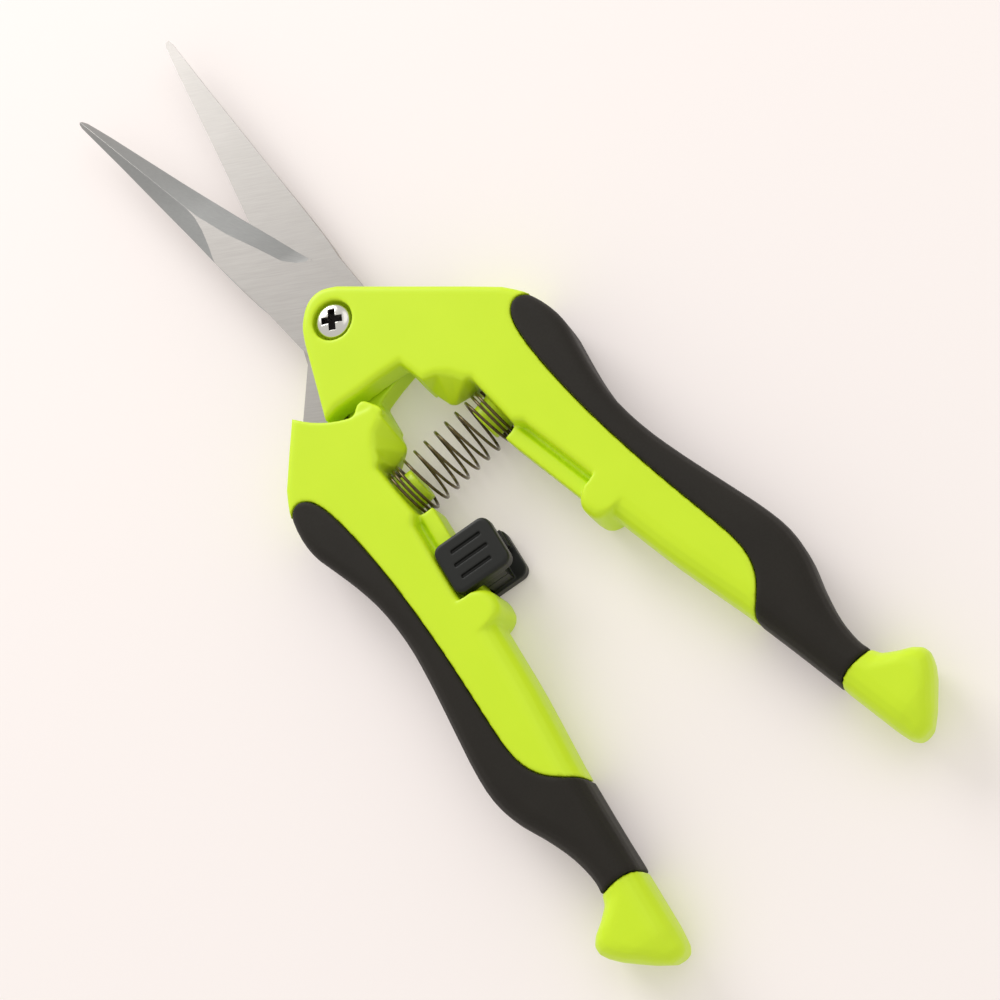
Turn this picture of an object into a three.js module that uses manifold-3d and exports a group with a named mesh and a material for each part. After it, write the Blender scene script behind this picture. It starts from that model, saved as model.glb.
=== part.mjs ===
// Floral snips: two handle mouldings that cross at a pivot, each holding one
// needle-nosed blade, with rubber grips, a return spring and a sliding lock.
// Millimetres, +Z up. The tool lies flat with its blades towards +Y.
import * as THREE from 'three';
import { mergeVertices } from 'three/addons/utils/BufferGeometryUtils.js';
import Module from 'manifold-3d';

const wasm = await Module();
wasm.setup();

const HALF_OPEN = THREE.MathUtils.degToRad(8.75); // each half turns this far from closed
const HALF_THICK = 5; // handle thickness each side of the middle plane
const GRIP_THICK = 5.35; // the rubber stands a little proud of the moulding
const PART_GAP = 0.15; // clearance between pieces that are cut around each other
const EDGE_ROUND = 0.9; // rounding of the moulded edges
const NOSE_ROUND = 1.6; // softer rounding of the nose below the lock
const GRIP_DEPTH = 2; // rubber over the moulding's core
const CORE_THICK = 3.6;
const CORE_ROUND = 0.8;
const CORNER_STEPS = 4;
const ROUND_SIDES = 36;
const SWEEP_SIDES = 96;

const BLADE_THICK = 2;
const BLADE_LIFT = 0.05; // the two blades run this far each side of the middle plane
const EDGE_LAND = 0.25; // thickness left at the ground edges

const KNUCKLE_FACE = 4.6; // height where the knuckle beside the spring meets the faces
const RIDGE_FLAT = 0.3;
const SWEEP_RADIUS = 16.75; // shoulder arc that the other half's head sweeps past
const HEAD_FLOOR = 3.25; // bottom of the counterbore above the middle plane
const COUNTERBORE_R = 3.35;
const SCREW_HEAD_R = 2.9;
const SCREW_HEAD_H = 1.75;
const HEAD_FACE_R = 1.9; // flat top of the domed heads
const DOME = [[0.7, 0], [0.25, 0.35]]; // drop below the face and step in from the rim
const SHANK_R = 1.45;
const SHANK_END = -2.3;
const BARREL_R = 2.1;
const BARREL_END = 2.6;
const THREAD_GAP = 0.12;
const BARREL_GAP = 0.08; // the blades turn on the barrel with this clearance
const CROSS_TURN = THREE.MathUtils.degToRad(55);
const CROSS_LENGTH = 3.9;
const CROSS_WIDTH = 1;
const CROSS_DEPTH = 1.2;
const NUT_SLOT = [4, 0.8, 0.7]; // length, width and depth

const POST_R = 3.1;
const POST_LENGTH = 3.4;
const POST_TAPER = 0.3;
const POST_ROOT = 1.5; // length buried in the handle
const POST_SIDES = 28;
const SEAT = new THREE.Vector2(5.28, -30.1); // middle of the spring's seat
const SEAT_TILT = Math.atan2(1.35, 9.65);

const WIRE_R = 0.24;
const COIL_R = 4.3;
const END_TURNS = 2.5;
const OPEN_TURNS = 7;
const END_PITCH = 0.78;
const COIL_STEPS = 13; // wire sections in each turn

const RAIL_EDGE = 2.1; // free edge of the lock's rail, from the centre line
const RAIL_THICK = 2;
const RAIL_TOP = -35;
const RAIL_BOTTOM = -50.8;
const BEAD_WIDTH = 2.55; // thicker strip that the lock's lips hook behind
const BEAD_THICK = 2.9;
const BEAD_ROUND = 0.45;
const CATCH_WIDTH = 0.8; // narrow bead at the back of the right rail
const CATCH_END = -41.1; // it stops here, so that the lock can let go

const LOCK_TOP = -41.6;
const LOCK_BOTTOM = -50.1;
const LOCK_THICK = 5.25;
const LOCK_CORNER = 1.5;
const LOCK_RIM = 0.5;
const LOCK_INSIDE = 3.1; // inner face of each shell, above the beads
const LOCK_FREE_SIDE = -4.25;
const STEM_HALF = 1.85; // the shells meet between the two rails
const LIP_LOW = 2.2; // the lips reach down to here
const LIP_WIDTH = 0.6;
const CATCH_LIP = [-3.85, -3.05];
const CATCH_LIP_LENGTH = 3.1;
const SLOT_SPACING = 2.05;
const SLOT_SLANT = 0.25; // each slot starts this far along from its neighbour
const SLOT_WIDTH = 0.55;
const SLOT_DEPTH = 0.45;
const SLOT_HALVES = [2.6, 2.9, 2.6]; // half lengths
const GROOVE_WALL = 5.6;
const NOSE_TOP = -50.5;
const PLATE_END = -57; // the head's plate runs into the handle's bar down to here

function material(color, roughness, metalness = 0) {
  return new THREE.MeshStandardMaterial({ color, roughness, metalness });
}
const lime = () => material(0xcfea3a, 0.42);
const rubber = () => material(0x2e2f2b, 0.75);
const steel = () => material(0xbebebb, 0.35, 1);
const nickel = () => material(0xd2d0cb, 0.2, 1);
const bronze = () => material(0x6e5a2e, 0.35, 1);
const blackPlastic = () => material(0x242523, 0.5);

function solid(geometry) {
  const bare = geometry.clone();
  bare.deleteAttribute('normal');
  bare.deleteAttribute('uv');
  const merged = mergeVertices(bare, 1e-4);
  const corners = [];
  for (let i = 0; i < merged.index.count; i += 3) {
    const [a, b, c] = [0, 1, 2].map((k) => merged.index.getX(i + k));
    if (a !== b && b !== c && c !== a) corners.push(a, b, c);
  }
  return new wasm.Manifold(new wasm.Mesh({
    numProp: 3,
    vertProperties: Float32Array.from(merged.attributes.position.array),
    triVerts: Uint32Array.from(corners),
  }));
}

function piece(name, body, finish) {
  const mesh = body.getMesh();
  const geometry = new THREE.BufferGeometry();
  geometry.setAttribute('position', new THREE.BufferAttribute(mesh.vertProperties, 3));
  geometry.setIndex(new THREE.BufferAttribute(mesh.triVerts, 1));
  geometry.computeVertexNormals();
  const made = new THREE.Mesh(geometry, finish);
  made.name = name;
  return made;
}

// A closed outline: plain points, with each nested list taken as one smooth curve.
function outline(parts) {
  const shape = new THREE.Shape();
  parts.forEach((part, i) => {
    const curve = Array.isArray(part[0]) ? part : [part];
    if (i === 0) shape.moveTo(...curve[0]);
    else shape.lineTo(...curve[0]);
    if (curve.length > 1) {
      shape.splineThru(curve.slice(1).map((p) => new THREE.Vector2(...p)));
    }
  });
  return shape;
}

// A plate from z = low to high with its rims rounded. The outline is its widest part,
// less inset all round.
function plate(shape, low, high, round = 0, inset = 0, steps = 2) {
  const rim = Math.max(round, 0.001);
  const geometry = new THREE.ExtrudeGeometry(shape, {
    depth: high - low - 2 * rim,
    bevelEnabled: round > 0 || inset !== 0,
    bevelThickness: rim,
    bevelSize: rim,
    bevelOffset: -rim - inset,
    bevelSegments: round > 0 ? steps : 1,
    curveSegments: 3,
  });
  if (round > 0 || inset !== 0) {
    geometry.translate(0, 0, low + rim);
  } else {
    geometry.scale(1, 1, (high - low) / (high - low - 2 * rim));
    geometry.translate(0, 0, low);
  }
  return solid(geometry);
}

function cylinder(radius, low, high, sides = ROUND_SIDES) {
  const geometry = new THREE.CylinderGeometry(radius, radius, high - low, sides);
  geometry.rotateX(Math.PI / 2);
  geometry.translate(0, 0, (low + high) / 2);
  return solid(geometry);
}

function turnedSolid(profile) {
  const geometry = new THREE.LatheGeometry(profile.map((p) => new THREE.Vector2(...p)), ROUND_SIDES);
  geometry.rotateX(Math.PI / 2);
  return solid(geometry);
}

function box(low, high) {
  const size = high.map((v, i) => v - low[i]);
  const geometry = new THREE.BoxGeometry(...size);
  geometry.translate(...low.map((v, i) => v + size[i] / 2));
  return solid(geometry);
}

// Joins closed rings of points, each ring with the same count, and caps both ends.
function loft(rings) {
  const count = rings[0].length;
  const positions = rings.flat(2);
  const index = [];
  for (let r = 0; r + 1 < rings.length; r += 1) {
    for (let i = 0; i < count; i += 1) {
      const a = r * count + i;
      const b = r * count + ((i + 1) % count);
      index.push(a, b, b + count, a, b + count, a + count);
    }
  }
  const flat = rings[0].map((p) => new THREE.Vector2(p[0], rings[0][0][1] === p[1] ? p[2] : p[1]));
  const caps = THREE.ShapeUtils.triangulateShape(flat.slice(), []);
  const top = (rings.length - 1) * count;
  for (const [a, b, c] of caps) {
    index.push(c, b, a, top + a, top + b, top + c);
  }
  const geometry = new THREE.BufferGeometry();
  geometry.setAttribute('position', new THREE.Float32BufferAttribute(positions, 3));
  geometry.setIndex(index);
  const body = solid(geometry);
  if (body.volume() > 0) return body;
  const turned = geometry.clone();
  turned.setIndex(index.map((_, i) => index[i - (i % 3) + 2 - (i % 3)]));
  return solid(turned);
}

// Straight-line value at y from a short list of [y, value] points.
function along(points) {
  return (y) => {
    let k = 0;
    while (k < points.length - 2 && y > points[k + 1][0]) k += 1;
    const [[y0, v0], [y1, v1]] = [points[k], points[k + 1]];
    return v0 + ((v1 - v0) * (y - y0)) / (y1 - y0);
  };
}

// One half is drawn as if the snips were closed. Pivot at the origin, blade towards +Y, handle at +X. The head and the blade lie
// above the middle plane and the handle spans it.
const OUTER_EDGE = [
  [20, -19.4], [21.5, -23.3], [21.9, -27.3], [21.4, -31], [19.9, -34.8], [18, -39.8],
  [16.6, -45], [16, -51], [16.1, -58], [16.6, -66], [17, -73], [16.7, -78], [15.3, -82.3],
  [13.1, -86.3], [11.3, -90.2], [10.3, -93.8], [10.1, -96.3], [10.8, -98.5],
];

// Head, shoulder and the handle down to the nose.
function upperOutline() {
  return outline([
    [7.7, -1],
    [16.8, -14.5],
    OUTER_EDGE.filter(([, y]) => y > -50),
    [16, PLATE_END],
    [6.4, PLATE_END],
    [5, -51.8],
    [GROOVE_WALL, NOSE_TOP],
    [GROOVE_WALL, -36.5],
    [4.6, -34.95],
    [5.95, -25.3],
    [5.2, -24],
    [4.5, -22],
    [3.2, -20.2],
    [1.25, -18.9],
    [1.15, -14.1],
    [-2.1, -12.9],
    [-5.9, -11.8],
    [-10.1, -10.4],
    [-12.9, -10.2],
    [[-5.7, 1.3], [-4, 3.5], [-1.8, 5.1], [0.4, 5.8], [2.7, 5.3], [4.7, 3.5]],
  ]);
}

// The heel below OUTER_EDGE: it flares outwards and slopes back to the end of the cap.
const HEEL = [[12.4, -100], [14, -101.2], [14.8, -102.3], [14.8, -103.4], [14, -104.6],
  [12.7, -105.9], [11, -107.2], [9.2, -108.5], [7.6, -109.4], [6.9, -109.8]];
const innerEdge = along([[-109.8, 5.2], [-109.4, 4.5], [-108.5, 3.95], [-106.8, 3.7], [-88, 3.7],
  [-80, 3.6], [-73, 3.2], [-67, 2.9], [-12, 2.8]]);
const endDrop = along([[-109.8, 2.6], [-109.4, 1.7], [-108.5, 0.9], [-107.2, 0.4], [-105.9, 0.1],
  [-104.6, 0], [-12, 0]]);
const noseEdge = along([[-56, 3.6], [-55.8, 2.4], [-55.3, 1.5], [-54.5, 0.95], [-53, 0.8],
  [-52, 1], [-51.2, 1.5], [-50.5, 2.6]]);
const barRound = along([[-110, 3.4], [-52, 3.2], [-46, 2.4], [-36, 2.1], [-12, 2.1]]);

// A bar along Y made of rounded rectangles, one at each station [y, low x, high x,
// half thickness, corner radius].
function bar(stations) {
  const rings = stations.map(([y, low, high, thick, corner]) => {
    const r = Math.min(corner, thick - 0.05, (high - low) / 2 - 0.05);
    const ring = [];
    [[1, 1], [-1, 1], [-1, -1], [1, -1]].forEach(([sx, sz], quarter) => {
      const cx = sx > 0 ? high - r : low + r;
      const cz = sz * (thick - r);
      for (let k = 0; k <= CORNER_STEPS; k += 1) {
        const turn = (quarter + k / CORNER_STEPS) * (Math.PI / 2);
        ring.push([cx + r * Math.cos(turn), y, cz + r * Math.sin(turn)]);
      }
    });
    return ring;
  });
  return loft(rings);
}

// The rounded bar of the handle between two heights, drawn in by inset on both edges.
function shaftSolid(inset, halfThick, cornerAt, from, to) {
  const edge = new THREE.SplineCurve(OUTER_EDGE.map((p) => new THREE.Vector2(...p)));
  const points = [...edge.getPoints(42).map((p) => [p.x, p.y]), ...HEEL];
  return bar(points.filter(([, y]) => y <= from && y >= to).map(([x, y]) => [
    y, innerEdge(y) + inset, x - inset, halfThick - endDrop(y), cornerAt(y)]));
}

// The nose below the lock, full and rounded on the side that faces the other handle.
function noseSolid() {
  const ys = [NOSE_TOP, -50.8, -51.2, -52, -53, -53.8, -54.5, -54.9, -55.3, -55.6, -55.8, -56];
  return bar(ys.map((y) => [y, noseEdge(y), 9, HALF_THICK, NOSE_ROUND]));
}

// Everything outside the curved line where rubber meets the moulding.
function gripZone() {
  return outline([
    [28, -24.6],
    [22, -24.2],
    [[21, -23.2], [19.4, -22.6], [17.7, -23.4], [16.3, -25.7], [15, -30], [13.8, -36],
      [12.9, -42], [12.2, -48.5], [11.7, -55], [11.35, -62], [11.1, -69], [10.8, -73],
      [10.1, -76], [8.7, -78.5], [6.5, -80.5], [3.9, -82.1], [2.2, -84], [0, -87]],
    [0, -99],
    [[2.2, -98.8], [3.4, -97.4], [5.4, -96.7], [9.6, -97]],
    [28, -97],
  ]);
}

function tangOutline() {
  return outline([
    [[5.5, 12.3], [6.1, 7.1], [7, 2.7], [7.9, -1.2]],
    [16, -13.1],
    [17.6, -19],
    [15.6, -24],
    [12.6, -23],
    [[8.6, -15.6], [4.4, -9.3], [0, -7], [-4, -5.2], [-6.2, -2], [-6.6, 1.2], [-6.3, 4.4]],
    [-5.9, 8],
    [-5.4, 12.3],
  ]);
}

// Blade outline and the two lines where the grinds leave the flat, as x at each y.
const BLADE_ROOT = 11.8;
const BLADE_TIP = 67;
const cuttingEdge = along([[11.8, 5.6], [14, 5.4], [18, 5.05], [22, 4.65], [26, 4.2], [30, 3.75],
  [34, 3.4], [38, 3], [42, 2.65], [46, 2.35], [50, 2], [54, 1.7], [58, 1.4], [62, 1.05],
  [66, 0.6], [67, 0.3]]);
const spineEdge = along([[11.8, -5.45], [14, -5.45], [18, -5.2], [22, -4.85], [26, -4.45],
  [30, -4.05], [34, -3.65], [38, -3.25], [42, -2.85], [46, -2.5], [50, -2.1], [54, -1.7],
  [58, -1.35], [62, -1], [66, -0.65], [67, -0.4]]);
const edgeGrind = along([[11.8, 5.58], [12.4, 4.8], [13.6, 3.7], [16, 2.5], [21.3, 1.6],
  [27.6, 0.4], [34.5, -0.3], [37, -0.33], [67, -0.03]]);
const spineGrind = along([[11.8, -5.43], [26, -4.43], [27.3, -3.8], [29, -2.9], [31.9, -1.6],
  [34.5, -0.75], [37, -0.37], [67, -0.07]]);
const crestHeight = along([[11.8, BLADE_THICK], [48, BLADE_THICK], [64, 1.3], [67, 0.8]]);
const edgeHeight = along([[11.8, BLADE_THICK - 0.02], [14, 0.9], [17, EDGE_LAND], [67, EDGE_LAND]]);
const spineHeight = along([[11.8, BLADE_THICK - 0.02], [26, BLADE_THICK - 0.02], [32, 1.1],
  [60, 0.75], [67, 0.4]]);

function bladeSolid() {
  const stations = [BLADE_ROOT, 12.4, 13.6, 14.8, 16, 17, 21.3, 24, 26, 27.3, 27.6, 29, 31.9, 34.5,
    37, 42, 48, 54, 60, 64, 66, BLADE_TIP];
  const rings = stations.map((y) => [
    [spineEdge(y), y, BLADE_LIFT],
    [cuttingEdge(y), y, BLADE_LIFT],
    [cuttingEdge(y), y, edgeHeight(y)],
    [edgeGrind(y), y, crestHeight(y)],
    [spineGrind(y), y, crestHeight(y)],
    [spineEdge(y), y, spineHeight(y)],
  ]);
  const tang = plate(tangOutline(), BLADE_LIFT, BLADE_THICK);
  const hole = cylinder(BARREL_R + BARREL_GAP, 0, BLADE_THICK + 1);
  return loft(rings).add(tang).subtract(hole);
}

// The knuckle beside the spring: a ridge at the middle plane that slopes back to the
// narrower face outline on both sides.
function knuckleSolid() {
  const face = [[7, -17.4], [1.3, -17.4], [1.3, -18.9], [3.4, -20.3], [4.6, -22.4], [5.2, -24.4],
    [7, -25.1]];
  const ridge = [[7, -17.4], [1, -17.4], [0.9, -19.5], [1.15, -23.1], [1.6, -23.75],
    [4.4, -24.95], [7, -25.3]];
  const levels = [[face, -KNUCKLE_FACE], [ridge, -RIDGE_FLAT], [ridge, RIDGE_FLAT], [face, KNUCKLE_FACE]];
  return loft(levels.map(([points, z]) => points.map(([x, y]) => [x, y, z])));
}

// A short tooth that closes the gap under the other half's head.
function toothSolid() {
  const shape = outline([
    [5.4, -18],
    [5.4, -15.9],
    [[4.6, -15.5], [3.9, -14.8], [3.1, -14.45], [2.3, -14.8], [1.5, -15.9], [0.8, -17]],
    [0.7, -18],
  ]);
  return plate(shape, -HALF_THICK + PART_GAP, PART_GAP);
}

function postSolid() {
  const length = POST_LENGTH + POST_ROOT;
  const geometry = new THREE.CylinderGeometry(POST_R - POST_TAPER, POST_R, length, POST_SIDES);
  geometry.translate(0, length / 2 - POST_ROOT, 0);
  geometry.rotateZ(Math.PI / 2 - SEAT_TILT);
  geometry.translate(SEAT.x, SEAT.y, 0);
  return solid(geometry);
}

// The rail that the lock rides on. Both of its faces carry the wide bead, but at the back
// of a catch rail there is only a short narrow one.
function railSolid(isCatch) {
  const inside = RAIL_EDGE + BEAD_ROUND;
  const web = box([inside, RAIL_BOTTOM, -RAIL_THICK], [GROOVE_WALL + 1, RAIL_TOP, RAIL_THICK]);
  const bead = bar([RAIL_BOTTOM, RAIL_TOP].map((y) => [
    y, RAIL_EDGE, RAIL_EDGE + BEAD_WIDTH, BEAD_THICK, BEAD_ROUND]));
  if (!isCatch) return bead.add(web);
  const keptEnd = box([RAIL_EDGE, CATCH_END, -BEAD_THICK], [RAIL_EDGE + CATCH_WIDTH, RAIL_TOP, 0]);
  return bead.subtract(box([0, RAIL_BOTTOM - 1, -HALF_THICK], [GROOVE_WALL, RAIL_TOP + 1, -RAIL_THICK]))
    .add(bead.intersect(keptEnd))
    .add(web);
}

function handleSolid(isCatch) {
  const headSweep = cylinder(SWEEP_RADIUS, -HALF_THICK - 1, PART_GAP, SWEEP_SIDES);
  const tangPocket = plate(tangOutline(), -BLADE_LIFT, BLADE_THICK + PART_GAP, 0, -PART_GAP);
  const core = shaftSolid(GRIP_DEPTH, CORE_THICK, () => CORE_ROUND, -19, -104);
  const gripRecess = plate(gripZone(), -HALF_THICK - 1, HALF_THICK + 1, 0, -PART_GAP / 2);
  return plate(upperOutline(), -HALF_THICK, HALF_THICK, EDGE_ROUND)
    .subtract(headSweep)
    .add(noseSolid())
    .add(shaftSolid(0, HALF_THICK, barRound, -53, -110))
    .add(toothSolid())
    .add(knuckleSolid())
    .add(railSolid(isCatch))
    .add(postSolid())
    .subtract(tangPocket)
    .subtract(gripRecess.subtract(core))
    .subtract(cylinder(COUNTERBORE_R, HEAD_FLOOR, HALF_THICK + 1))
    .subtract(cylinder(BARREL_R + PART_GAP, -1, HALF_THICK));
}

function gripSolid() {
  const depth = GRIP_DEPTH - PART_GAP;
  const core = shaftSolid(depth, CORE_THICK + PART_GAP, () => CORE_ROUND, -19, -104);
  const zone = plate(gripZone(), -HALF_THICK - 2, HALF_THICK + 2, 0, PART_GAP / 2);
  return shaftSolid(0, GRIP_THICK, barRound, -19, -104).intersect(zone).subtract(core);
}

// Both heads bear on the counterbore floors, and the screw's shank threads into the
// nut's barrel.
function screwSolid() {
  const base = HEAD_FLOOR + PART_GAP / 3;
  const top = base + SCREW_HEAD_H;
  const dome = DOME.map(([drop, step]) => [SCREW_HEAD_R - step, top - drop]);
  const profile = [[0, SHANK_END], [SHANK_R, SHANK_END], [SHANK_R, base], [SCREW_HEAD_R, base],
    ...dome, [HEAD_FACE_R, top], [0, top]];
  let screw = turnedSolid(profile);
  for (const quarter of [0, 1]) {
    const arm = new THREE.BoxGeometry(CROSS_LENGTH, CROSS_WIDTH, 2 * CROSS_DEPTH);
    arm.rotateZ(CROSS_TURN + (quarter * Math.PI) / 2);
    arm.translate(0, 0, top);
    screw = screw.subtract(solid(arm));
  }
  return screw;
}

function nutSolid() {
  const base = -HEAD_FLOOR - PART_GAP / 3;
  const low = base - SCREW_HEAD_H;
  const dome = DOME.map(([drop, step]) => [SCREW_HEAD_R - step, low + drop]).reverse();
  const bore = SHANK_R + THREAD_GAP;
  const profile = [[0, low], [HEAD_FACE_R, low], ...dome, [SCREW_HEAD_R, base], [BARREL_R, base],
    [BARREL_R, BARREL_END], [bore, BARREL_END], [bore, -BARREL_END], [0, -BARREL_END]];
  const [length, width, depth] = NUT_SLOT;
  const slot = box([-length / 2, -width / 2, low - 1], [length / 2, width / 2, low + depth]);
  return turnedSolid(profile).subtract(slot);
}

class CoilPath extends THREE.Curve {
  constructor(length) {
    super();
    this.length = length;
    this.turns = 2 * END_TURNS + OPEN_TURNS;
    this.openPitch = (length - 2 * END_TURNS * END_PITCH) / OPEN_TURNS;
  }

  getPoint(t, target = new THREE.Vector3()) {
    const turn = t * this.turns;
    const first = Math.min(turn, END_TURNS);
    const middle = Math.min(Math.max(turn - END_TURNS, 0), OPEN_TURNS);
    const last = Math.max(turn - END_TURNS - OPEN_TURNS, 0);
    const x = (first + last) * END_PITCH + middle * this.openPitch - this.length / 2;
    const angle = turn * 2 * Math.PI;
    return target.set(x, COIL_R * Math.cos(angle), COIL_R * Math.sin(angle));
  }
}

function springSolid(length) {
  const wire = new THREE.Shape();
  wire.absarc(0, 0, WIRE_R, 0, 2 * Math.PI);
  const path = new CoilPath(length - 2 * WIRE_R);
  const steps = Math.round(path.turns * COIL_STEPS);
  const geometry = new THREE.ExtrudeGeometry(wire, {
    steps, curveSegments: 3, bevelEnabled: false, extrudePath: path,
  });
  return solid(geometry);
}

// Two shells that clip together around the left rail, with lips that hook behind its
// beads. The rear shell has a short lip on the far side for the right rail's catch.
function lockShell(side) {
  const [left, right] = [LOCK_FREE_SIDE, GROOVE_WALL - PART_GAP];
  const r = LOCK_CORNER;
  const shape = new THREE.Shape();
  shape.absarc(right - r, LOCK_TOP - r, r, 0, Math.PI / 2);
  shape.absarc(left + r, LOCK_TOP - r, r, Math.PI / 2, Math.PI);
  shape.absarc(left + r, LOCK_BOTTOM + r, r, Math.PI, 1.5 * Math.PI);
  shape.absarc(right - r, LOCK_BOTTOM + r, r, 1.5 * Math.PI, 2 * Math.PI);
  const bottom = LOCK_BOTTOM + LOCK_RIM;
  const top = LOCK_TOP - LOCK_RIM;
  const lipSide = RAIL_EDGE + BEAD_WIDTH + PART_GAP;
  const skin = LOCK_INSIDE + PART_GAP;
  let shell = plate(shape, LOCK_INSIDE, LOCK_THICK, LOCK_RIM)
    .add(plate(shape, LOCK_INSIDE, (LOCK_INSIDE + LOCK_THICK) / 2))
    .add(box([-STEM_HALF, bottom, PART_GAP / 3], [STEM_HALF, top, skin]))
    .add(box([lipSide, bottom + r, LIP_LOW], [lipSide + LIP_WIDTH, top - r, skin]));
  if (side > 0) {
    shell = shell.add(box([CATCH_LIP[0], top - CATCH_LIP_LENGTH, LIP_LOW], [CATCH_LIP[1], top, skin]));
  }
  const centre = [(left + right) / 2, (LOCK_TOP + LOCK_BOTTOM) / 2];
  SLOT_HALVES.forEach((half, row) => {
    const x = centre[0] + (1 - row) * SLOT_SLANT;
    const y = centre[1] + (row - 1) * SLOT_SPACING;
    shell = shell.subtract(box([x - half, y - SLOT_WIDTH / 2, LOCK_THICK - SLOT_DEPTH],
      [x + half, y + SLOT_WIDTH / 2, LOCK_THICK + 1]));
  });
  return side > 0 ? shell : shell.mirror([0, 0, 1]);
}

const snips = new THREE.Group();

const rightHalf = new THREE.Group();
rightHalf.rotation.z = HALF_OPEN;
rightHalf.add(piece('right_handle', handleSolid(true), lime()));
rightHalf.add(piece('right_grip', gripSolid(), rubber()));
rightHalf.add(piece('front_blade', bladeSolid(), steel()));
snips.add(rightHalf);

// The left half is the same shape turned over, so its head and blade lie behind.
const leftHalf = new THREE.Group();
leftHalf.rotation.z = -HALF_OPEN;
const turnedOver = new THREE.Group();
turnedOver.rotation.y = Math.PI;
turnedOver.add(piece('left_handle', handleSolid(false), lime()));
turnedOver.add(piece('left_grip', gripSolid(), rubber()));
turnedOver.add(piece('rear_blade', bladeSolid(), steel()));
turnedOver.add(piece('lock_front', lockShell(-1), blackPlastic()));
turnedOver.add(piece('lock_rear', lockShell(1), blackPlastic()));
leftHalf.add(turnedOver);
snips.add(leftHalf);

snips.add(piece('pivot_screw', screwSolid(), nickel()));
snips.add(piece('pivot_nut', nutSolid(), nickel()));

const seat = SEAT.clone().rotateAround(new THREE.Vector2(0, 0), HALF_OPEN);
const spring = piece('return_spring', springSolid(2 * (seat.x - PART_GAP)), bronze());
spring.position.y = seat.y;
snips.add(spring);

// The origin is the middle of the underside.
const extent = new THREE.Box3().setFromObject(snips);
const middle = extent.getCenter(new THREE.Vector3());
snips.position.set(-middle.x, -middle.y, -extent.min.z);

export default snips;
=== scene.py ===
import math

import bpy
from mathutils import Matrix, Vector


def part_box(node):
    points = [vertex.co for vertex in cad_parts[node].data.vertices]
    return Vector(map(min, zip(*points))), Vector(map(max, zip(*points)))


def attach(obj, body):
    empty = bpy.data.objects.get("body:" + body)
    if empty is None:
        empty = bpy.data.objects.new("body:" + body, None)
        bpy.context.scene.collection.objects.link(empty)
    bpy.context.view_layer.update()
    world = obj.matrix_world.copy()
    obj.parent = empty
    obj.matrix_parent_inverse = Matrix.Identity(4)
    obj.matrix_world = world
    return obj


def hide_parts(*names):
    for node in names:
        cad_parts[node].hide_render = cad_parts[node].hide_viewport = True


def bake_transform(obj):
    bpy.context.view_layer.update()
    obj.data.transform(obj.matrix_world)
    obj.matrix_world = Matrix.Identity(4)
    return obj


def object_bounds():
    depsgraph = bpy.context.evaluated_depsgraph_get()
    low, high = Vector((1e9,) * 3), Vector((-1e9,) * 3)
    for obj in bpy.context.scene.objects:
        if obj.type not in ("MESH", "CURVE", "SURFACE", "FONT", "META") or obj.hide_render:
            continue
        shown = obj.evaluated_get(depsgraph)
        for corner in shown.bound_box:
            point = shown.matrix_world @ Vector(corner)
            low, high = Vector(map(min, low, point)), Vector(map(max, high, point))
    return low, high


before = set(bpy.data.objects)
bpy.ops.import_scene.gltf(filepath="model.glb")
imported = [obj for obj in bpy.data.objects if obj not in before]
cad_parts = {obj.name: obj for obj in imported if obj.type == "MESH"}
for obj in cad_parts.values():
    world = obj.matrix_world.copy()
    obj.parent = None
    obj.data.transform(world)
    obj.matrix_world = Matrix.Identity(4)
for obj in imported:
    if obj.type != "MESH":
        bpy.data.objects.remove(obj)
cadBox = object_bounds()
scene = bpy.context.scene
mm = 0.001


# sRGB hex to the linear colour a shader wants
def hexColour(code):
    parts = [int(code[i:i + 2], 16) / 255 for i in (1, 3, 5)]
    return [c / 12.92 if c <= 0.04045 else ((c + 0.055) / 1.055) ** 2.4 for c in parts] + [1.0]


# adds a node; a value given as (node, output name) becomes a link
def addNode(tree, kind, values=None, **settings):
    node = tree.nodes.new(kind)
    for name, value in settings.items():
        setattr(node, name, value)
    for socket, value in (values or {}).items():
        if isinstance(value, tuple) and isinstance(value[0], bpy.types.Node):
            tree.links.new(value[0].outputs[value[1]], node.inputs[socket])
        else:
            node.inputs[socket].default_value = value
    return node


def startMaterial(name, **sockets):
    material = bpy.data.materials.new(name)
    material.use_nodes = True
    tree = material.node_tree
    tree.nodes.clear()
    surface = addNode(tree, "ShaderNodeBsdfPrincipled",
                      {name.replace("_", " "): value for name, value in sockets.items()})
    addNode(tree, "ShaderNodeOutputMaterial", {"Surface": (surface, "BSDF")})
    return material, tree, surface


def pickNothing():
    if bpy.context.object and bpy.context.object.mode != "OBJECT":
        bpy.ops.object.mode_set(mode="OBJECT")
    bpy.ops.object.select_all(action="DESELECT")


def pickOnly(piece):
    pickNothing()
    piece.select_set(True)
    bpy.context.view_layer.objects.active = piece


# a welded copy of a CAD node's mesh, ready for mesh work
def mergedCopy(nodeName, pieceName):
    piece = bpy.data.objects.new(pieceName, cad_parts[nodeName].data.copy())
    scene.collection.objects.link(piece)
    piece.data.materials.clear()
    pickOnly(piece)
    bpy.ops.object.mode_set(mode="EDIT")
    bpy.ops.mesh.select_all(action="SELECT")
    bpy.ops.mesh.remove_doubles(threshold=0.002 * mm)
    bpy.ops.object.mode_set(mode="OBJECT")
    return piece


def applyModifier(piece, kind, **settings):
    pickOnly(piece)
    modifier = piece.modifiers.new(kind.lower(), kind)
    for name, value in settings.items():
        setattr(modifier, name, value)
    bpy.ops.object.modifier_apply(modifier=modifier.name)


# moulded pieces have no hard corner anywhere: fine even mesh, then relaxed
def softMoulding(piece, voxel, rounds):
    applyModifier(piece, "REMESH", mode="VOXEL", voxel_size=voxel, adaptivity=0.0)
    applyModifier(piece, "SMOOTH", factor=0.5, iterations=rounds)
    bpy.ops.object.shade_smooth()


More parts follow.
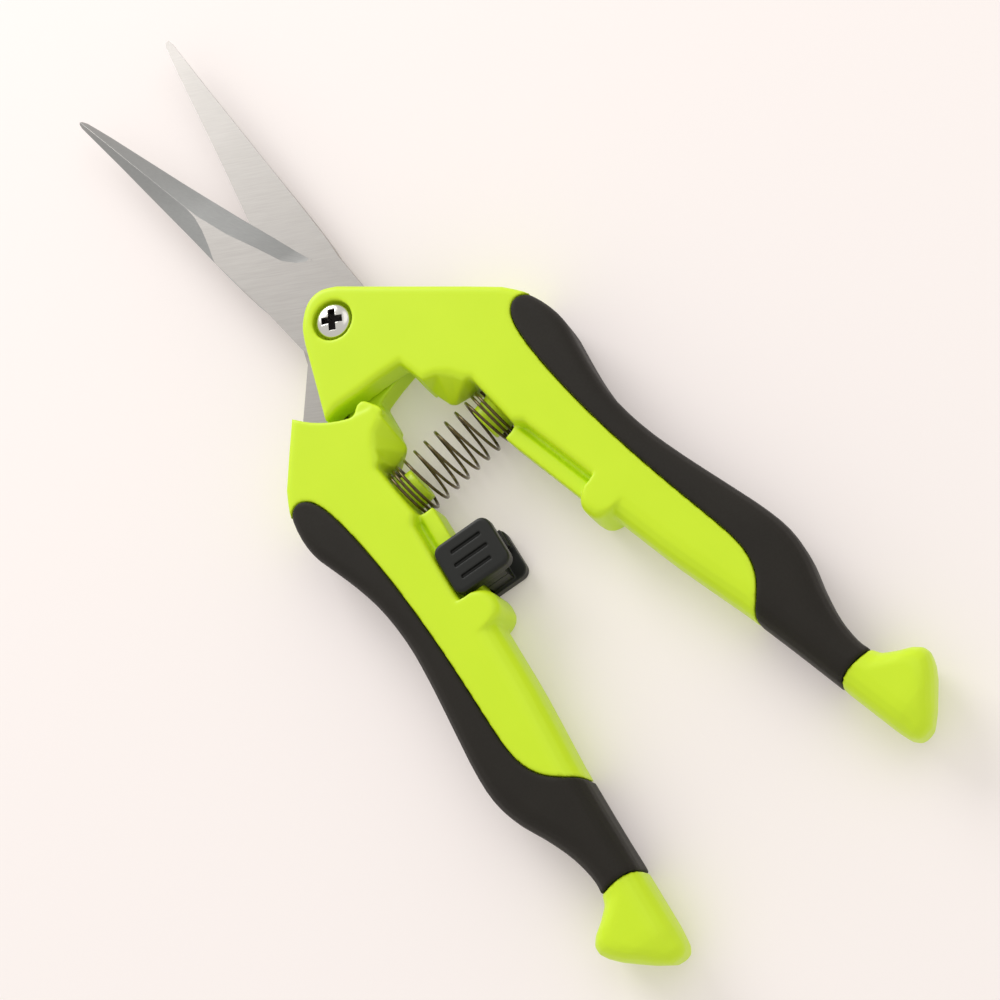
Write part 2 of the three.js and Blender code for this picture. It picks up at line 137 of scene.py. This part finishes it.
# place baked into the mesh, then handed to its body
def settle(piece, nodeName, body, slotName, *materials):
    pickOnly(piece)
    bpy.ops.object.transform_apply(location=True, rotation=True, scale=True)
    for material in materials:
        if material.name not in piece.data.materials:
            piece.data.materials.append(material)
    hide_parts(nodeName)
    if body:
        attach(piece, body)


def limePolypropylene():
    # injection-moulded polypropylene: bright lime, satin from a fine spark-eroded mould,
    # light goes a little way in, so edges glow and shade never goes grey
    look = {"colour": "#CFEC1E", "flowColour": "#C9E716", "flowSize": 9 * mm,
            "grainSize": 0.35 * mm, "roughness": 0.4}
    material, tree, surface = startMaterial(
        "limePolypropylene", IOR=1.49, Subsurface_Weight=0.12,
        Subsurface_Radius=(0.9, 1.0, 0.25), Subsurface_Scale=1.1 * mm, Specular_IOR_Level=0.45)
    place = addNode(tree, "ShaderNodeTexCoord")
    flow = addNode(tree, "ShaderNodeTexNoise",
                   {"Vector": (place, "Object"), "Scale": 1 / look["flowSize"], "Detail": 2.0})
    tint = addNode(tree, "ShaderNodeMix", {"Factor": (flow, "Fac"), 6: hexColour(look["colour"]),
                                           7: hexColour(look["flowColour"])}, data_type="RGBA")
    tree.links.new(tint.outputs[2], surface.inputs["Base Color"])
    # the real grain is about 0.1 mm, drawn coarser so that it shows at all
    grain = addNode(tree, "ShaderNodeTexNoise",
                    {"Vector": (place, "Object"), "Scale": 1 / look["grainSize"], "Detail": 3.0})
    sheen = addNode(tree, "ShaderNodeMapRange",
                    {"Value": (grain, "Fac"), "To Min": look["roughness"] - 0.06,
                     "To Max": look["roughness"] + 0.08})
    tree.links.new(sheen.outputs["Result"], surface.inputs["Roughness"])
    bump = addNode(tree, "ShaderNodeBump", {"Height": (grain, "Fac"), "Strength": 0.25,
                                            "Distance": 0.012 * mm})
    tree.links.new(bump.outputs["Normal"], surface.inputs["Normal"])
    return material


def softTouchRubber():
    # over-moulded thermoplastic rubber: charcoal, nearly matt, fine even tooth
    look = {"colour": "#1B1711", "paleColour": "#221E17", "toothSize": 0.3 * mm,
            "mottleSize": 6 * mm, "roughness": 0.62}
    material, tree, surface = startMaterial(
        "softTouchRubber", IOR=1.5, Specular_IOR_Level=0.24, Sheen_Weight=0.03, Sheen_Roughness=0.5)
    place = addNode(tree, "ShaderNodeTexCoord")
    mottle = addNode(tree, "ShaderNodeTexNoise",
                     {"Vector": (place, "Object"), "Scale": 1 / look["mottleSize"], "Detail": 4.0})
    tint = addNode(tree, "ShaderNodeMix", {"Factor": (mottle, "Fac"), 6: hexColour(look["colour"]),
                                           7: hexColour(look["paleColour"])}, data_type="RGBA")
    tree.links.new(tint.outputs[2], surface.inputs["Base Color"])
    tooth = addNode(tree, "ShaderNodeTexNoise",
                    {"Vector": (place, "Object"), "Scale": 1 / look["toothSize"], "Detail": 4.0})
    sheen = addNode(tree, "ShaderNodeMapRange",
                    {"Value": (tooth, "Fac"), "To Min": look["roughness"] - 0.1,
                     "To Max": look["roughness"] + 0.12})
    tree.links.new(sheen.outputs["Result"], surface.inputs["Roughness"])
    bump = addNode(tree, "ShaderNodeBump", {"Height": (tooth, "Fac"), "Strength": 0.35,
                                            "Distance": 0.03 * mm})
    tree.links.new(bump.outputs["Normal"], surface.inputs["Normal"])
    return material


def blackAcetal():
    # moulded acetal: near-black with a slightly waxy satin
    look = {"colour": "#11120D", "grainSize": 0.25 * mm, "roughness": 0.42}
    material, tree, surface = startMaterial("blackAcetal", Base_Color=hexColour(look["colour"]),
                                            IOR=1.48, Specular_IOR_Level=0.38)
    place = addNode(tree, "ShaderNodeTexCoord")
    grain = addNode(tree, "ShaderNodeTexNoise",
                    {"Vector": (place, "Object"), "Scale": 1 / look["grainSize"], "Detail": 3.0})
    sheen = addNode(tree, "ShaderNodeMapRange",
                    {"Value": (grain, "Fac"), "To Min": look["roughness"] - 0.06,
                     "To Max": look["roughness"] + 0.1})
    tree.links.new(sheen.outputs["Result"], surface.inputs["Roughness"])
    bump = addNode(tree, "ShaderNodeBump", {"Height": (grain, "Fac"), "Strength": 0.3,
                                            "Distance": 0.01 * mm})
    tree.links.new(bump.outputs["Normal"], surface.inputs["Normal"])
    return material


def stainlessSteel(name, look):
    # stainless blade steel: scratches all run one way, so the shine streaks across them
    material, tree, surface = startMaterial(name, Metallic=1.0)
    place = addNode(tree, "ShaderNodeTexCoord")
    turned = addNode(tree, "ShaderNodeMapping",
                     {"Vector": (place, "Object"),
                      "Rotation": (0, 0, math.radians(look["scratchTurn"]))})
    drawn = addNode(tree, "ShaderNodeMapping",
                    {"Vector": (turned, "Vector"), "Scale": (look["scratchSqueeze"], 1.0, 1.0)})
    scratch = addNode(tree, "ShaderNodeTexNoise",
                      {"Vector": (drawn, "Vector"), "Scale": 1 / look["scratchWidth"],
                       "Detail": 5.0, "Roughness": 0.65})
    cloud = addNode(tree, "ShaderNodeTexNoise",
                    {"Vector": (place, "Object"), "Scale": 1 / look["cloudSize"], "Detail": 3.0})
    tint = addNode(tree, "ShaderNodeMix", {"Factor": (scratch, "Fac"), 6: hexColour(look["dark"]),
                                           7: hexColour(look["light"])}, data_type="RGBA")
    tree.links.new(tint.outputs[2], surface.inputs["Base Color"])
    both = addNode(tree, "ShaderNodeMath", {0: (scratch, "Fac"), 1: (cloud, "Fac")}, operation="ADD")
    sheen = addNode(tree, "ShaderNodeMapRange", {"Value": (both, "Value"), "From Max": 2.0,
                                                 "To Min": look["roughness"] - 0.1,
                                                 "To Max": look["roughness"] + 0.1})
    tree.links.new(sheen.outputs["Result"], surface.inputs["Roughness"])
    bump = addNode(tree, "ShaderNodeBump", {"Height": (scratch, "Fac"), "Strength": look["depth"],
                                            "Distance": 0.01 * mm})
    tree.links.new(bump.outputs["Normal"], surface.inputs["Normal"])
    return material


def paintedShadeNickel():
    # painted shade: the punched recess is coloured near-black metal to stand in for the shade that falls
    # in it
    look = {"colour": "#1A1412", "spotSize": 0.4 * mm}
    material, tree, surface = startMaterial("paintedShadeNickel", Base_Color=hexColour(look["colour"]),
                                            Metallic=0.4, Specular_IOR_Level=0.3)
    place = addNode(tree, "ShaderNodeTexCoord")
    spot = addNode(tree, "ShaderNodeTexNoise",
                   {"Vector": (place, "Object"), "Scale": 1 / look["spotSize"], "Detail": 3.0})
    sheen = addNode(tree, "ShaderNodeMapRange", {"Value": (spot, "Fac"), "To Min": 0.4, "To Max": 0.6})
    tree.links.new(sheen.outputs["Result"], surface.inputs["Roughness"])
    return material


def nickelPlate():
    # bright nickel over a cold-headed screw: mirror-like, faint ripples from heading
    look = {"colour": "#DAD7D0", "rippleSize": 0.9 * mm}
    material, tree, surface = startMaterial("nickelPlate", Base_Color=hexColour(look["colour"]),
                                            Metallic=1.0)
    place = addNode(tree, "ShaderNodeTexCoord")
    ripple = addNode(tree, "ShaderNodeTexNoise",
                     {"Vector": (place, "Object"), "Scale": 1 / look["rippleSize"], "Detail": 3.0})
    sheen = addNode(tree, "ShaderNodeMapRange", {"Value": (ripple, "Fac"), "To Min": 0.14, "To Max": 0.28})
    tree.links.new(sheen.outputs["Result"], surface.inputs["Roughness"])
    bump = addNode(tree, "ShaderNodeBump", {"Height": (ripple, "Fac"), "Strength": 0.2,
                                            "Distance": 0.02 * mm})
    tree.links.new(bump.outputs["Normal"], surface.inputs["Normal"])
    return material


def brassedSpringWire():
    # oil-tempered wire under thin brass: near-black olive with hard pale glints
    look = {"colour": "#6A5622", "darkColour": "#221A08", "drawSize": 0.5 * mm}
    material, tree, surface = startMaterial(
        "brassedSpringWire", Metallic=0.9, Coat_Weight=0.6, Coat_Roughness=0.08, Coat_IOR=1.5)
    place = addNode(tree, "ShaderNodeTexCoord")
    patch = addNode(tree, "ShaderNodeTexNoise",
                    {"Vector": (place, "Object"), "Scale": 1 / look["drawSize"], "Detail": 3.0})
    tint = addNode(tree, "ShaderNodeMix", {"Factor": (patch, "Fac"), 6: hexColour(look["darkColour"]),
                                           7: hexColour(look["colour"])}, data_type="RGBA")
    tree.links.new(tint.outputs[2], surface.inputs["Base Color"])
    sheen = addNode(tree, "ShaderNodeMapRange", {"Value": (patch, "Fac"), "To Min": 0.22, "To Max": 0.4})
    tree.links.new(sheen.outputs["Result"], surface.inputs["Roughness"])
    return material


lime = limePolypropylene()
rubber = softTouchRubber()
acetal = blackAcetal()
nickel = nickelPlate()
# near-black metal that paints the shade inside the screw and nut recesses
recessShadeNickel = paintedShadeNickel()
springWire = brassedSpringWire()
flatSteel = stainlessSteel("surfaceGroundStainless", {
    "dark": "#96928E", "light": "#B1ADA9", "roughness": 0.4, "scratchTurn": 38,
    "scratchSqueeze": 0.035, "scratchWidth": 0.22 * mm, "cloudSize": 7 * mm, "depth": 0.45})
bevelSteel = stainlessSteel("wheelGroundStainless", {
    "dark": "#939392", "light": "#ABABA9", "roughness": 0.45, "scratchTurn": 60,
    "scratchSqueeze": 0.035, "scratchWidth": 0.16 * mm, "cloudSize": 5 * mm, "depth": 0.45})
print("materials made")

# handles and grips
handleLook = {"voxel": 0.27 * mm, "rounds": 4}
for nodeName, body in (("right_handle", "right_half"), ("left_handle", "left_half")):
    handle = mergedCopy(nodeName, nodeName + "_moulding")
    softMoulding(handle, handleLook["voxel"], handleLook["rounds"])
    settle(handle, nodeName, body, "moulding", lime)
    print("handle", nodeName, len(handle.data.polygons))

gripLook = {"voxel": 0.27 * mm, "rounds": 5}
for nodeName, body in (("right_grip", "right_half"), ("left_grip", "left_half")):
    grip = mergedCopy(nodeName, nodeName + "_rubber")
    softMoulding(grip, gripLook["voxel"], gripLook["rounds"])
    settle(grip, nodeName, body, "grip", rubber)
    print("grip", nodeName, len(grip.data.polygons))

# blades
bladeLook = {"mergeAngle": 0.6, "edgeBreak": 0.05 * mm, "edgeAngle": 16, "smoothAngle": 9,
             "leastLean": 6, "mostLean": 75}
for nodeName, body in (("front_blade", "right_half"), ("rear_blade", "left_half")):
    blade = mergedCopy(nodeName, nodeName + "_steel")
    bpy.ops.object.mode_set(mode="EDIT")
    bpy.ops.mesh.select_all(action="SELECT")
    bpy.ops.mesh.dissolve_limited(angle_limit=math.radians(bladeLook["mergeAngle"]))
    bpy.ops.object.mode_set(mode="OBJECT")
    applyModifier(blade, "BEVEL", width=bladeLook["edgeBreak"], segments=2, limit_method="ANGLE",
                  angle_limit=math.radians(bladeLook["edgeAngle"]))
    blade.data.materials.append(flatSteel)
    blade.data.materials.append(bevelSteel)
    for face in blade.data.polygons:
        lean = math.degrees(math.acos(min(1, abs(face.normal.z))))
        ground = bladeLook["leastLean"] < lean < bladeLook["mostLean"]
        face.material_index = 1 if ground else 0
    bpy.ops.object.shade_smooth_by_angle(angle=math.radians(bladeLook["smoothAngle"]))
    applyModifier(blade, "WEIGHTED_NORMAL", mode="FACE_AREA", weight=100, keep_sharp=True)
    settle(blade, nodeName, body, "blade")
    print("blade", nodeName, len(blade.data.polygons))

# pivot screw and nut
# dome steps are (inwards, up) in mm, from the rim to the middle of the face
screwLook = {"headHeight": 1.75 * mm, "shankRadius": 1.45 * mm, "crossTurn": 55,
             "armLength": 5.6 * mm, "armWidth": 1.85 * mm, "recessDepth": 1.6 * mm,
             "taper": 0.62, "recessReach": 2.3 * mm, "recessTop": 0.4 * mm, "recessFloor": 1.8 * mm,
             "domeRise": 0.89 * mm,
             "steps": ((0.12, 0.35), (0.28, 0.24), (0.5, 0.17), (0.75, 0.1), (0.9, 0.03)),
             "edgeBreak": 0.06 * mm, "edgeAngle": 28, "smoothAngle": 30}
nutLook = {"barrelRadius": 2.1 * mm, "barrelWall": 0.53 * mm, "boreDepth": 5.2 * mm,
           "slotLength": 4.4 * mm, "slotWidth": 0.8 * mm, "slotDepth": 0.8 * mm}


def pickFaces(piece, test):
    bpy.ops.object.mode_set(mode="OBJECT")
    for face in piece.data.polygons:
        face.select = test(face)
    bpy.ops.object.mode_set(mode="EDIT")


# a domed head between low and high, its face on the side that up points to
def headBlank(name, centre, radius, low, high, up):
    pickNothing()
    flatTop = high - screwLook["domeRise"] if up > 0 else high
    flatLow = low if up > 0 else low + screwLook["domeRise"]
    bpy.ops.mesh.primitive_cylinder_add(vertices=72, radius=radius, depth=flatTop - flatLow,
                                        location=(centre.x, centre.y, (flatTop + flatLow) / 2))
    head = bpy.context.object
    head.name = name
    bpy.ops.object.transform_apply(location=True, rotation=True, scale=True)
    bpy.ops.object.mode_set(mode="EDIT")
    bpy.ops.mesh.select_mode(type="FACE")
    pickFaces(head, lambda face: face.normal.z * up > 0.9)
    for inward, rise in screwLook["steps"]:
        bpy.ops.mesh.inset(thickness=inward * mm, depth=rise * mm)
    return head


# driver recess: tapered arms cut into the head's face
def cutRecess(head, centre, top, up, arms, length, width, depth):
    for turn in arms:
        pickNothing()
        bpy.ops.mesh.primitive_cube_add(size=1, location=(0, 0, 0),
                                        scale=(length, width, 2 * depth))
        cutter = bpy.context.object
        bpy.ops.object.mode_set(mode="EDIT")
        bpy.ops.mesh.select_mode(type="FACE")
        pickFaces(cutter, lambda face: face.normal.z * up < -0.9)
        bpy.ops.transform.resize(value=(screwLook["taper"], screwLook["taper"], 1))
        bpy.ops.mesh.select_all(action="SELECT")
        bpy.ops.mesh.normals_make_consistent(inside=False)
        bpy.ops.object.mode_set(mode="OBJECT")
        bpy.ops.object.transform_apply(location=True, rotation=True, scale=True)
        cutter.data.transform(Matrix.Translation((centre.x, centre.y, top)) @
                              Matrix.Rotation(math.radians(turn), 4, "Z"))
        applyModifier(head, "BOOLEAN", operation="DIFFERENCE", object=cutter, solver="EXACT")
        bpy.data.objects.remove(cutter)


# the walls and floor of the recess get the near-black metal, which is painted shade
def paintRecessShade(head, centre, top, up):
    head.data.materials.append(nickel)
    head.data.materials.append(recessShadeNickel)
    for face in head.data.polygons:
        reach = math.hypot(face.center.x - centre.x, face.center.y - centre.y)
        sunk = (top - face.center.z) * up
        inRecess = (reach < screwLook["recessReach"]
                    and screwLook["recessTop"] < sunk < screwLook["recessFloor"])
        face.material_index = 1 if inRecess else 0


# broken edges and smooth shading, then the two metals
def finishHead(head, centre, top, up):
    applyModifier(head, "BEVEL", width=screwLook["edgeBreak"], segments=2, limit_method="ANGLE",
                  angle_limit=math.radians(screwLook["edgeAngle"]))
    bpy.ops.object.shade_smooth_by_angle(angle=math.radians(screwLook["smoothAngle"]))
    paintRecessShade(head, centre, top, up)


screwLow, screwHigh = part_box("pivot_screw")
screwCentre = (screwLow + screwHigh) / 2
screwRadius = (screwHigh.x - screwLow.x) / 2
headBase = screwHigh.z - screwLook["headHeight"]
screw = headBlank("pivot_screw_phillips", screwCentre, screwRadius, headBase, screwHigh.z, 1)
pickFaces(screw, lambda face: face.normal.z < -0.9)
bpy.ops.mesh.inset(thickness=screwRadius - screwLook["shankRadius"])
bpy.ops.mesh.extrude_region_move(TRANSFORM_OT_translate={"value": (0, 0, screwLow.z - headBase)})
bpy.ops.object.mode_set(mode="OBJECT")
cutRecess(screw, screwCentre, screwHigh.z, 1,
          (screwLook["crossTurn"], screwLook["crossTurn"] + 90),
          screwLook["armLength"], screwLook["armWidth"], screwLook["recessDepth"])
finishHead(screw, screwCentre, screwHigh.z, 1)
settle(screw, "pivot_screw", "left_half", "fastener")

nutLow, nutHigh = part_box("pivot_nut")
nutCentre = (nutLow + nutHigh) / 2
nutRadius = (nutHigh.x - nutLow.x) / 2
nutBase = nutLow.z + screwLook["headHeight"]
nut = headBlank("pivot_nut_slotted", nutCentre, nutRadius, nutLow.z, nutBase, -1)
pickFaces(nut, lambda face: face.normal.z > 0.9)
bpy.ops.mesh.inset(thickness=nutRadius - nutLook["barrelRadius"])
bpy.ops.mesh.extrude_region_move(TRANSFORM_OT_translate={"value": (0, 0, nutHigh.z - nutBase)})
bpy.ops.mesh.inset(thickness=nutLook["barrelWall"])
bpy.ops.mesh.extrude_region_move(TRANSFORM_OT_translate={"value": (0, 0, -nutLook["boreDepth"])})
bpy.ops.object.mode_set(mode="OBJECT")
cutRecess(nut, nutCentre, nutLow.z, -1, (0,), nutLook["slotLength"], nutLook["slotWidth"],
          nutLook["slotDepth"])
finishHead(nut, nutCentre, nutLow.z, -1)
settle(nut, "pivot_nut", "left_half", "fastener")
print("pivot screw and nut made")

# return spring
springLook = {"wireRadius": 0.24 * mm, "endTurns": 2.5, "openTurns": 7, "endPitch": 0.78 * mm,
              "stepsPerTurn": 40}
springLow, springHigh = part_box("return_spring")
springMid = (springLow + springHigh) / 2
coilRadius = (springHigh.z - springLow.z) / 2 - springLook["wireRadius"]
springLength = springHigh.x - springLow.x - 2 * springLook["wireRadius"]
turns = 2 * springLook["endTurns"] + springLook["openTurns"]
closedEnds = 2 * springLook["endTurns"] * springLook["endPitch"]
openPitch = (springLength - closedEnds) / springLook["openTurns"]
coilCurve = bpy.data.curves.new("coilLine", "CURVE")
coilCurve.dimensions = "3D"
coilCurve.bevel_depth = springLook["wireRadius"]
coilCurve.bevel_resolution = 3
coilCurve.use_fill_caps = True
line = coilCurve.splines.new("POLY")
count = int(turns * springLook["stepsPerTurn"])
line.points.add(count)
for i in range(count + 1):
    turn = turns * i / count
    first = min(turn, springLook["endTurns"])
    middle = min(max(turn - springLook["endTurns"], 0), springLook["openTurns"])
    last = max(turn - springLook["endTurns"] - springLook["openTurns"], 0)
    along = (first + last) * springLook["endPitch"] + middle * openPitch - springLength / 2
    angle = turn * 2 * math.pi
    line.points[i].co = (springMid.x + along, springMid.y + coilRadius * math.cos(angle),
                         springMid.z + coilRadius * math.sin(angle), 1)
spring = bpy.data.objects.new("return_spring_coil", coilCurve)
scene.collection.objects.link(spring)
pickOnly(spring)
bpy.ops.object.convert(target="MESH")
spring = bpy.context.object
bpy.ops.object.shade_smooth()
settle(spring, "return_spring", None, "spring", springWire)
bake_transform(spring)
print("return spring made", len(spring.data.polygons))

# lock shells
lockLook = {"voxel": 0.11 * mm, "rounds": 5}
for nodeName in ("lock_front", "lock_rear"):
    shell = mergedCopy(nodeName, nodeName + "_shell")
    softMoulding(shell, lockLook["voxel"], lockLook["rounds"])
    settle(shell, nodeName, "lock", "lock", acetal)
    print("lock", nodeName, len(shell.data.polygons))

# floor, light and camera
floorLook = {"colour": "#E2DBD8", "glow": "#FFF3EE", "glowStrength": 0.2, "size": 3.0,
             "drop": 0.05 * mm}
pickNothing()
bpy.ops.mesh.primitive_plane_add(size=floorLook["size"], location=(0, 0, -floorLook["drop"]))
floor = bpy.context.object
floor.name = "paleFloor"
# opal acrylic sheet lit from below: matt white that hardly shows a shadow
opalAcrylic = startMaterial(
    "backlitOpalAcrylic", Base_Color=hexColour(floorLook["colour"]), Roughness=0.85,
    Emission_Color=hexColour(floorLook["glow"]), Emission_Strength=floorLook["glowStrength"])[0]
floor.data.materials.append(opalAcrylic)

world = bpy.data.worlds.new("studioAir")
scene.world = world
world.use_nodes = True
air = world.node_tree.nodes["Background"]
airLook = {"colour": "#FBFAF8", "strength": 0.78}
air.inputs["Color"].default_value = hexColour(airLook["colour"])
air.inputs["Strength"].default_value = airLook["strength"]

centre = (cadBox[0] + cadBox[1]) / 2
lights = (
    {"name": "keySoftbox", "offset": (0.0, 0.80, 0.42), "size": 0.6, "power": 4.2},
    {"name": "fillSoftbox", "offset": (0.50, 0.10, 0.75), "size": 0.7, "power": 0.7},
)
for light in lights:
    data = bpy.data.lights.new(light["name"], "AREA")
    data.shape = "DISK"
    data.size = light["size"]
    data.energy = light["power"]
    lamp = bpy.data.objects.new(light["name"], data)
    scene.collection.objects.link(lamp)
    lamp.location = centre + Vector(light["offset"])
    lamp.rotation_mode = "QUATERNION"
    lamp.rotation_quaternion = (centre - lamp.location).to_track_quat("-Z", "Y")

# the offset starts on the screw's axis, level with the right handle's front face
cameraLook = {"offset": (0.016801, -0.147834, 0.240407),
              "forward": (-0.060370, 0.402232, -0.913545),
              "up": (0.683207, 0.683892, 0.255968), "lens": 64.8, "sensor": 36, "nearest": 0.01}
pivot = Vector((screwCentre.x, screwCentre.y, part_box("right_handle")[1].z))
cameraData = bpy.data.cameras.new("viewCamera")
cameraData.sensor_width = cameraLook["sensor"]
cameraData.lens = cameraLook["lens"]
cameraData.clip_start = cameraLook["nearest"]
camera = bpy.data.objects.new("viewCamera", cameraData)
scene.collection.objects.link(camera)
forward = Vector(cameraLook["forward"]).normalized()
up = Vector(cameraLook["up"]).normalized()
right = forward.cross(up).normalized()
up = right.cross(forward)
facing = Matrix((right, up, -forward)).transposed().to_4x4()
camera.matrix_world = Matrix.Translation(pivot + Vector(cameraLook["offset"])) @ facing
scene.camera = camera
scene.view_settings.view_transform = "Standard"
print("floor, light and camera placed")

bpy.context.view_layer.update()
